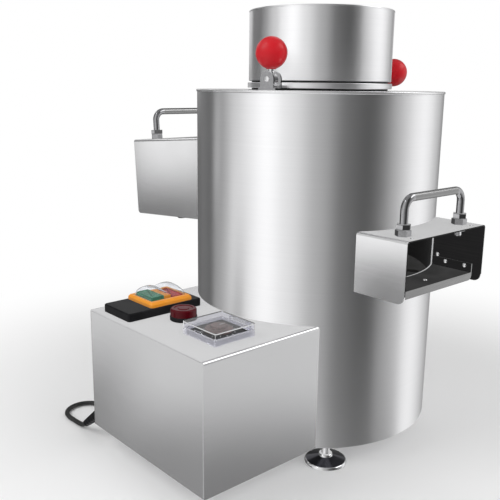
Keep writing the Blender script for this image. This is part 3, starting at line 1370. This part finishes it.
studioLook = {
    "floorLevel": 0.92, "floorSize": 40, "floorDrop": 0.0002, "whiteFrom": 0.34, "whiteTo": 0.80,
    "soft": 0.62,  # what the surround gives matt surfaces
    "wallRadius": 1.3, "wallLow": -1.4, "wallHigh": 2.5, "ceiling": 0.42,
    # bearing in degrees and level
    "bands": [
        (-180, 0.18), (-163, 0.13), (-152, 0.07), (-144, 0.22), (-136, 0.41), (-128, 0.55), (-119, 0.46),
        (-108, 0.78), (-90, 1.0), (-70, 0.80), (-45, 0.42), (-22, 0.13), (-2, 0.07), (12, 0.12),
        (23, 0.33), (34, 0.54), (45, 0.82), (58, 1.0), (70, 0.86), (82, 0.58), (105, 0.26),
        (130, 0.16), (150, 0.13)],
    # bearing, half width and fade in degrees, the heights where it starts, is full, stays full to
    # and ends, and its level
    "cards": [
        (-150, 6, 4, -0.14, -0.04, 0.06, 0.20, 0.05),  # left chute, low and high
        (-147.5, 3.5, 3, 0.06, 0.27, 0.34, 0.42, 1.0),
        (-119, 5, 4, -0.50, -0.35, -0.11, 0.0, 0.03),  # right chute, low, high and top
        (-119, 6, 5, -0.12, 0.04, 0.12, 0.30, 1.2),
        (120, 11, 5, 0.40, 0.48, 0.64, 0.78, 0.64),
        (-138, 13, 4, -1.40, -1.39, -0.12, -0.04, 0.62),  # box front, and its two dark feet
        (-131, 8, 6, -1.40, -1.39, -0.62, -0.34, 0.14),
        (-148, 5, 7, -1.40, -1.39, -0.46, -0.14, 0.12),
        (29, 14, 5, -1.40, -1.39, -0.30, -0.20, 0.56),  # box side, its dark foot, and box top
        (29, 16, 5, -1.40, -1.39, -0.76, -0.42, 0.06),
        (151, 22, 6, 0.42, 0.52, 0.95, 1.15, 0.70),
        (47, 20, 8, 1.0, 1.15, 1.7, 1.9, 3.0),  # folds of the box and the chutes
        (-174, 8, 5, 0.9, 1.0, 1.25, 1.4, 1.6),
        (-155, 8, 5, 1.8, 1.9, 2.25, 2.4, 1.8)],
    "lamps": [("keyLamp", (-0.5, -1.5, 1.7), 1.5, 16, True), ("fillLamp", (1.6, 0.3, 1.3), 1.4, 10, False)],
    "lampAim": (0, 0, 0.25),
}


def grey(level):
    return (level, level, level, 1)


def stepped(tree, value, low, high, start=0, end=1):  # eases from start to end between low and high
    span = {"Value": value, "From Min": low, "From Max": high, "To Min": start, "To Max": end}
    return addNode(tree, "MapRange", span, interpolation_type="SMOOTHSTEP")


def anyRay(tree, *kinds):  # 1 for rays of these kinds
    path = tree.nodes.new("ShaderNodeLightPath")
    seen = path.outputs["Is %s Ray" % kinds[0]]
    for kind in kinds[1:]:
        seen = worked(tree, "MAXIMUM", seen, path.outputs["Is %s Ray" % kind])
    return seen


def fromAxis(tree):
    return objectVector(tree, move=(-drumAxis.x, -drumAxis.y, 0))


def surface(piece, material, tree, shader):
    tree.links.new(shader, tree.nodes["Material Output"].inputs["Surface"])
    piece.data.materials.append(material)


def onlyMirrored(piece, name, colourFrom, strength):  # a lit surface that shows in reflections alone
    material, tree, shader = startMaterial(name)
    tree.nodes.remove(shader)
    light = addNode(tree, "Emission", {"Color": colourFrom(tree), "Strength": strength})
    surface(piece, material, tree, light)
    for ray in ("camera", "diffuse", "transmission", "volume_scatter", "shadow"):
        setattr(piece, "visible_" + ray, False)


def makeFloor():
    look = studioLook
    floor = added("studioFloor", bpy.ops.mesh.primitive_plane_add, size=look["floorSize"],
                  location=(0, 0, -look["floorDrop"]))
    material, tree, shader = startMaterial("paleFloor")
    matt = {"Base Color": grey(look["floorLevel"]), "Roughness": 0.9, "Specular IOR Level": 0}
    setInputs(tree, shader, matt)
    away = addNode(tree, "VectorMath", {0: fromAxis(tree)}, "Value", operation="LENGTH")
    far = stepped(tree, away, look["whiteFrom"], look["whiteTo"])
    fade = worked(tree, "MULTIPLY", far, anyRay(tree, "Camera", "Transmission"))
    white = addNode(tree, "Emission", {})
    mixed = addNode(tree, "MixShader", {0: fade, 1: shader.outputs["BSDF"], 2: white})
    surface(floor, material, tree, mixed)
    floor.visible_glossy = False


def makeWorld():
    world = bpy.data.worlds.new("studio")
    world.use_nodes = True
    bpy.context.scene.world = world
    tree = world.node_tree
    seen = anyRay(tree, "Camera", "Transmission", "Glossy")
    colour = mixedColour(tree, seen, grey(studioLook["soft"]), grey(1))
    setInputs(tree, tree.nodes["Background"], {"Color": colour})


def bandRamp(tree, bearing):
    ramp = tree.nodes.new("ShaderNodeValToRGB")
    ramp.color_ramp.interpolation = "EASE"
    stops = ramp.color_ramp.elements
    bands = studioLook["bands"]
    while len(stops) < len(bands):
        stops.new(0.5)
    for stop, (degrees, level) in zip(stops, bands):
        stop.position = (degrees + 180) / 360
        stop.color = grey(level)
    along = {"Value": bearing, "From Min": -math.pi, "From Max": math.pi}
    setInputs(tree, ramp, {"Fac": addNode(tree, "MapRange", along)})
    return ramp.outputs["Color"]


def hungCard(tree, below, bearing, height, card):  # a light or dark card in front of the bands
    middle, half, fade, start, full, last, gone, level = card
    aside = worked(tree, "ABSOLUTE", worked(tree, "SUBTRACT", bearing, math.radians(middle)))
    across = stepped(tree, aside, math.radians(half), math.radians(half + fade), 1, 0)
    rise, fall = stepped(tree, height, start, full), stepped(tree, height, last, gone, 1, 0)
    mask = worked(tree, "MULTIPLY", across, worked(tree, "MULTIPLY", rise, fall))
    return mixedColour(tree, mask, below, grey(level))


def wallColour(tree):
    parts = tree.nodes.new("ShaderNodeSeparateXYZ")
    setInputs(tree, parts, {"Vector": fromAxis(tree)})
    bearing = worked(tree, "ARCTAN2", parts.outputs["Y"], parts.outputs["X"])
    colour = bandRamp(tree, bearing)
    for card in studioLook["cards"]:
        colour = hungCard(tree, colour, bearing, parts.outputs["Z"], card)
    return colour


def makeSurround():
    look = studioLook
    low, high, radius = look["wallLow"], look["wallHigh"], look["wallRadius"]
    wall = added("bandWall", bpy.ops.mesh.primitive_cylinder_add, vertices=128, radius=radius,
                 depth=high - low, end_fill_type="NOTHING",
                 location=(drumAxis.x, drumAxis.y, (low + high) / 2))
    onlyMirrored(wall, "bandLight", wallColour, 1)
    ceiling = added("softCeiling", bpy.ops.mesh.primitive_circle_add, vertices=96, radius=radius,
                    fill_type="NGON", location=(drumAxis.x, drumAxis.y, high))
    onlyMirrored(ceiling, "ceilingLight", lambda tree: grey(1), look["ceiling"])


def makeLamps():
    for name, place, size, power, mirrored in studioLook["lamps"]:
        data = bpy.data.lights.new(name, "AREA")
        data.shape = "DISK"
        data.size = size
        data.energy = power
        lamp = bpy.data.objects.new(name, data)
        bpy.context.scene.collection.objects.link(lamp)
        lamp.location = place
        run = Vector(studioLook["lampAim"]) - Vector(place)
        lamp.rotation_euler = run.to_track_quat("-Z", "Y").to_euler()
        lamp.visible_camera = False
        lamp.visible_glossy = mirrored


makeFloor()
makeWorld()
makeSurround()
makeLamps()
print("studio ready,", len(shown), "pieces")
